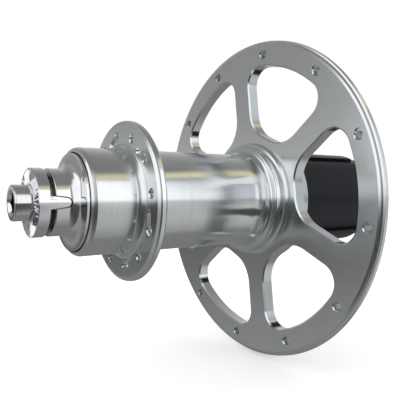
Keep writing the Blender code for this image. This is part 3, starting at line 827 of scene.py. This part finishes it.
def make_cone(finish):
    """The collar that flares like a trumpet into the dust lip over the left bearing."""
    flare_start, flare_end = -59.3, -56.15
    depth, height = flare_end - flare_start, CONE_LIP_R - CONE_R
    lip_end = -54.6
    corners = [(CONE_LOW.x, AXLE_HOLE_R, 0.1), (CONE_LOW.x, CONE_R, 0.3)]
    for cosine, sine in arc((0, 0), 1, 0, 90, FLARE_STEPS):
        corners.append((flare_start + depth * sine, CONE_R + height * (1 - cosine), 0))
    corners += [(lip_end, CONE_LIP_R, 0.25), (lip_end, SLEEVE_R, 0.2), (CONE_HIGH.x, SLEEVE_R, 0.1),
                (CONE_HIGH.x, AXLE_HOLE_R, 0.1)]
    builder = bmesh.new()
    spin(builder, rounded(corners), MEDIUM)
    cone = make_object("preload_cone", builder, finish)
    carve(cone, key_solid(KEY_GAP, KEY_INNER_R - 0.3, CONE_LIP_R + 2))
    even_shading(cone)
    place(cone, "axle", "polished_aluminium", "left_preload_cone")


# ---- freehub ----

def pocket_outline():
    """The pawl's pocket as (y, z) points from the pivot: a cup for the pivot, then a flat floor."""
    cup = arc((0, 0), 1.85, 95, 260, 14)
    floor, tip_end, above = -1.75, 7.0, 4.0
    return cup + [(0.6, floor), (tip_end, floor), (tip_end, above), (-0.3, above)]


def keyway_outline():
    """A straight-sided keyway with chamfered lips, pointing up, as (y, z) points."""
    half = KEYWAY_WIDTH / 2
    lip_r = FREEHUB_R - 0.25
    past = 2.2
    return [(-half, KEYWAY_FLOOR_R), (half, KEYWAY_FLOOR_R), (half, lip_r),
            (half + past, lip_r + past), (-half - past, lip_r + past), (-half, lip_r)]


def make_freehub(finish):
    """The cassette carrier: bores for its bearings, a lockring thread, pawl pockets and keyways."""
    seat_x = box_mm("freehub_inner_bearing_outer_race")[0].x - END_GAP
    clip_left, clip_right = CLIP_LOW.x - 0.1, CLIP_HIGH.x + 0.1
    lockring_x = clip_right + 0.3
    clip_groove_r = 14.75
    left, right = FREEHUB_LOW.x, FREEHUB_HIGH.x
    corners = [(left, CARRIER_BORE_R, 0.2), (left, CARRIER_R, 0.3),
               (FREEHUB_SHOULDER_X, CARRIER_R, 0.2), (FREEHUB_SHOULDER_X, FREEHUB_R, 0.4),
               (FREEHUB_STEP_X, FREEHUB_R, 0.8), (FREEHUB_STEP_X, FREEHUB_NECK_R, 0.2),
               (right, FREEHUB_NECK_R, 0.25), (right, LOCKRING_BORE_R + 0.35, 0.1),
               (right - 0.5, LOCKRING_BORE_R - 0.05, 0)]
    thread_pitch, thread_depth = 1.0, 0.3
    threads = int((right - lockring_x - 1.0) / thread_pitch)
    for i in range(threads):
        x = right - 0.5 - i * thread_pitch
        corners += [(x - 0.45, LOCKRING_BORE_R + thread_depth, 0.06), (x - 0.95, LOCKRING_BORE_R, 0.06)]
    corners += [(lockring_x, LOCKRING_BORE_R, 0.1), (lockring_x, SHELL_BORE_R, 0.1),
                (clip_right, SHELL_BORE_R, 0), (clip_right, clip_groove_r, 0),
                (clip_left, clip_groove_r, 0), (clip_left, SHELL_BORE_R, 0),
                (seat_x, SHELL_BORE_R, 0.2), (seat_x, CARRIER_BORE_R, 0.2)]
    builder = bmesh.new()
    spin(builder, rounded(corners), FINE)
    body = make_object("freehub", builder, finish)

    pockets = bmesh.new()
    ends = [(left - 0.3, pocket_outline()), (POCKET_RIGHT_X, pocket_outline())]
    add_round_pattern(pockets, ends, PAWLS, PAWL_START_DEG, PAWL_PIVOT_R)
    carve(body, pockets)

    keyways = bmesh.new()
    ends = [(KEYWAY_LEFT_X, keyway_outline()), (FREEHUB_STEP_X + 1, keyway_outline())]
    for degrees in KEYWAY_DEGS:
        add_loft(keyways, ends, round_x(degrees))
    carve(body, keyways)
    even_shading(body)
    place(body, "freehub", "black_anodised", "freehub_body")


def make_circlip(finish):
    """The split ring in front of the outer bearing."""
    open_half_deg = 14
    outline = arc((0, 0), 14.6, open_half_deg, 360 - open_half_deg, 120)
    outline += arc((0, 0), 12.9, 360 - open_half_deg, open_half_deg, 120)
    builder = bmesh.new()
    add_loft(builder, [(CLIP_LOW.x, outline), (CLIP_HIGH.x, outline)])
    clip = make_object("circlip", builder, finish)
    place(clip, "freehub", "spring_steel", "freehub_circlip")


def make_ball_cages(finish):
    for bearing in BEARINGS:
        node = bearing + "_ball_cage"
        low, high = box_mm(node)
        middle = (low.x + high.x) / 2
        half_width, half_height = 0.9, 0.45
        corners = []
        for side_x, side_r in ((-1, -1), (-1, 1), (1, 1), (1, -1)):
            corners.append((middle + side_x * half_width, BALL_PITCH_R + side_r * half_height, 0.15))
        builder = bmesh.new()
        spin(builder, rounded(corners, 3), MEDIUM)
        cage = make_object(bearing + "_balls", builder, finish)
        balls = bmesh.new()
        for i in range(BALLS):
            turn = round_x((i + 0.5) * 360 / BALLS) @ shift(middle, 0, BALL_PITCH_R)
            bmesh.ops.create_uvsphere(balls, u_segments=32, v_segments=16, radius=BALL_R * MM,
                                      matrix=turn)
        carve(cage, balls, "UNION")
        place(cage, bearing + "_balls", "bearing_steel", node)


# ---- the other turned pieces, spun again from their outlines in the frame ----

def outline_of(node):
    """The section of a turned CAD node above the axle, as (x, radius) points in order."""
    mesh = frame["nodes"][node].data
    near = {v.index: v.co / MM for v in mesh.vertices if abs(v.co.y) < 1e-6 and v.co.z > 0}
    merged = {}
    for index, point in near.items():
        merged.setdefault((round(point.x, 4), round(point.z, 4)), []).append(index)
    name_of = {index: key for key, members in merged.items() for index in members}
    nexts = {key: set() for key in merged}
    for edge in mesh.edges:
        a, b = edge.vertices
        if a in name_of and b in name_of and name_of[a] != name_of[b]:
            nexts[name_of[a]].add(name_of[b])
            nexts[name_of[b]].add(name_of[a])
    start = min(nexts)
    path = [start]
    while True:
        choices = sorted(k for k in nexts[path[-1]] if k not in path)
        if not choices:
            return path
        path.append(choices[0])


def make_turned_copies(finishes):
    for body, nodes in frame["record"]["behaviour"]["bodies"].items():
        for node in nodes:
            if node.endswith(("_race", "_seal", "_spacer", "_o_ring")) or node == "axle":
                builder = bmesh.new()
                spin(builder, outline_of(node), MEDIUM)
                slot_name = slot_of(node)
                piece = make_object(node + "_fine", builder, finishes[slot_name])
                place(piece, body, slot_name, node)


def slot_of(node):
    if node.endswith(("_seal", "_o_ring")):
        return "seal_rubber"
    if node.endswith("_spacer") or node == "axle":
        return "axle_aluminium"
    return "bearing_steel"


def dress_kept_nodes(finishes):
    """The ratchet, pawls and springs keep their CAD shapes and get worn steel."""
    for name, node in frame["nodes"].items():
        if name.startswith("pawl_spring"):
            node.material_slots[0].material = finishes["spring_steel"]
        elif name.startswith(("pawl_", "ratchet")):
            node.material_slots[0].material = finishes["hardened_steel"]


# ---- light, floor and camera ----

def wall_colour(tree, height, stops):
    """The wall's colour at this height, from a ramp that runs from straight down to straight up."""
    ramp = tree.nodes.new("ShaderNodeValToRGB")
    link(tree, height, ramp.inputs["Fac"])
    elements = ramp.color_ramp.elements
    while len(elements) < len(stops):
        elements.new(1.0)
    for element, (sine, level) in zip(elements, stops):
        colour = level if isinstance(level, tuple) else (level, level, level)
        element.position = (sine + 1) / 2
        element.color = (*(channel / SKY_STRENGTH for channel in colour), 1.0)
    return ramp.outputs["Color"]


def zone_share(tree, compass, middle_deg, half_width_deg, soft_deg):
    """How much of a zone shows at a level direction: 1 inside and 0 outside."""
    middle = math.radians(middle_deg)
    dot = tree.nodes.new("ShaderNodeVectorMath")
    dot.operation = "DOT_PRODUCT"
    link(tree, compass, dot.inputs[0])
    dot.inputs[1].default_value = (math.cos(middle), math.sin(middle), 0)
    outer = math.cos(math.radians(half_width_deg + soft_deg))
    inner = math.cos(math.radians(max(half_width_deg - soft_deg, 0)))
    return map_range(tree, dot.outputs["Value"], outer, inner, 0, 1, True)


def make_world():
    """Grey walls and a softbox, which only the metal sees, in front of a white background."""
    world = bpy.data.worlds.new("studio")
    world.use_nodes = True
    world.cycles.sampling_method = "NONE"
    bpy.context.scene.world = world
    tree = world.node_tree
    background = tree.nodes["Background"]
    coordinates = tree.nodes.new("ShaderNodeTexCoord")
    parts = tree.nodes.new("ShaderNodeSeparateXYZ")
    link(tree, coordinates.outputs["Generated"], parts.inputs[0])
    height = map_range(tree, parts.outputs[2], -1, 1, 0, 1)
    flat = tree.nodes.new("ShaderNodeCombineXYZ")
    link(tree, parts.outputs[0], flat.inputs[0])
    link(tree, parts.outputs[1], flat.inputs[1])
    compass = tree.nodes.new("ShaderNodeVectorMath")
    compass.operation = "NORMALIZE"
    link(tree, flat.outputs[0], compass.inputs[0])

    colour = wall_colour(tree, height, WALL_BEHIND)
    for middle_deg, half_width_deg, soft_deg, stops in ZONES:
        share = zone_share(tree, compass.outputs[0], middle_deg, half_width_deg, soft_deg)
        colour = blend_colours(tree, share, colour, wall_colour(tree, height, stops))
    path = tree.nodes.new("ShaderNodeLightPath")
    seen = math_node(tree, "MAXIMUM", path.outputs["Is Camera Ray"], path.outputs["Is Diffuse Ray"])
    white = tree.nodes.new("ShaderNodeRGB")
    white.outputs[0].default_value = (1 / SKY_STRENGTH, 1 / SKY_STRENGTH, 1 / SKY_STRENGTH, 1)
    link(tree, blend_colours(tree, seen, colour, white.outputs[0]), background.inputs["Color"])
    background.inputs["Strength"].default_value = SKY_STRENGTH


def make_floor():
    """Pale paper just under the hub. The metal doesn't see it."""
    level = cad_bounds[0][2] - FLOOR_DROP * MM
    bpy.ops.mesh.primitive_plane_add(size=FLOOR_SIDE, location=(0, 0, level))
    floor = bpy.context.active_object
    floor.name = "floor"
    material, tree, shader = new_material("floor_paper", 0.0)
    coordinates = tree.nodes.new("ShaderNodeTexCoord").outputs["Object"]
    fibres = noise(tree, coordinates, 400.0, 3.0)
    link(tree, mix_colour(tree, fibres, (0.94, 0.94, 0.94), (0.97, 0.97, 0.97)),
         shader.inputs["Base Color"])
    shader.inputs["Roughness"].default_value = 0.9
    shader.inputs["Specular IOR Level"].default_value = 0.0
    shader.inputs["Emission Color"].default_value = (1, 1, 1, 1)
    shader.inputs["Emission Strength"].default_value = FLOOR_GLOW
    floor.data.materials.append(material)
    floor.visible_glossy = False


def make_camera():
    data = bpy.data.cameras.new("camera")
    data.lens = CAMERA_LENS
    data.sensor_width = CAMERA_SENSOR
    data.clip_start = 0.005
    yaw, pitch = math.radians(CAMERA_YAW_DEG), math.radians(CAMERA_PITCH_DEG)
    aim = Vector((math.sin(yaw) * math.cos(pitch), math.cos(yaw) * math.cos(pitch), math.sin(pitch)))
    camera = bpy.data.objects.new("camera", data)
    bpy.context.scene.collection.objects.link(camera)
    turn = aim.to_track_quat("-Z", "Y").to_matrix().to_4x4()
    roll = Matrix.Rotation(math.radians(CAMERA_ROLL_DEG), 4, "Z")
    camera.matrix_world = Matrix.Translation(CAMERA_PLACE * MM) @ turn @ roll
    bpy.context.scene.camera = camera


def main():
    finishes = make_finishes()
    make_camera()
    make_world()
    make_floor()
    make_shell(finishes["polished_aluminium"])
    make_left_cap(finishes["mirror_aluminium"])
    make_cone(finishes["mirror_aluminium"])
    make_right_cap(finishes["polished_aluminium"])
    make_freehub(finishes["black_anodised"])
    make_circlip(finishes["spring_steel"])
    make_ball_cages(finishes["bearing_steel"])
    make_turned_copies(finishes)
    dress_kept_nodes(finishes)
    bpy.context.scene.view_settings.view_transform = "Standard"


main()
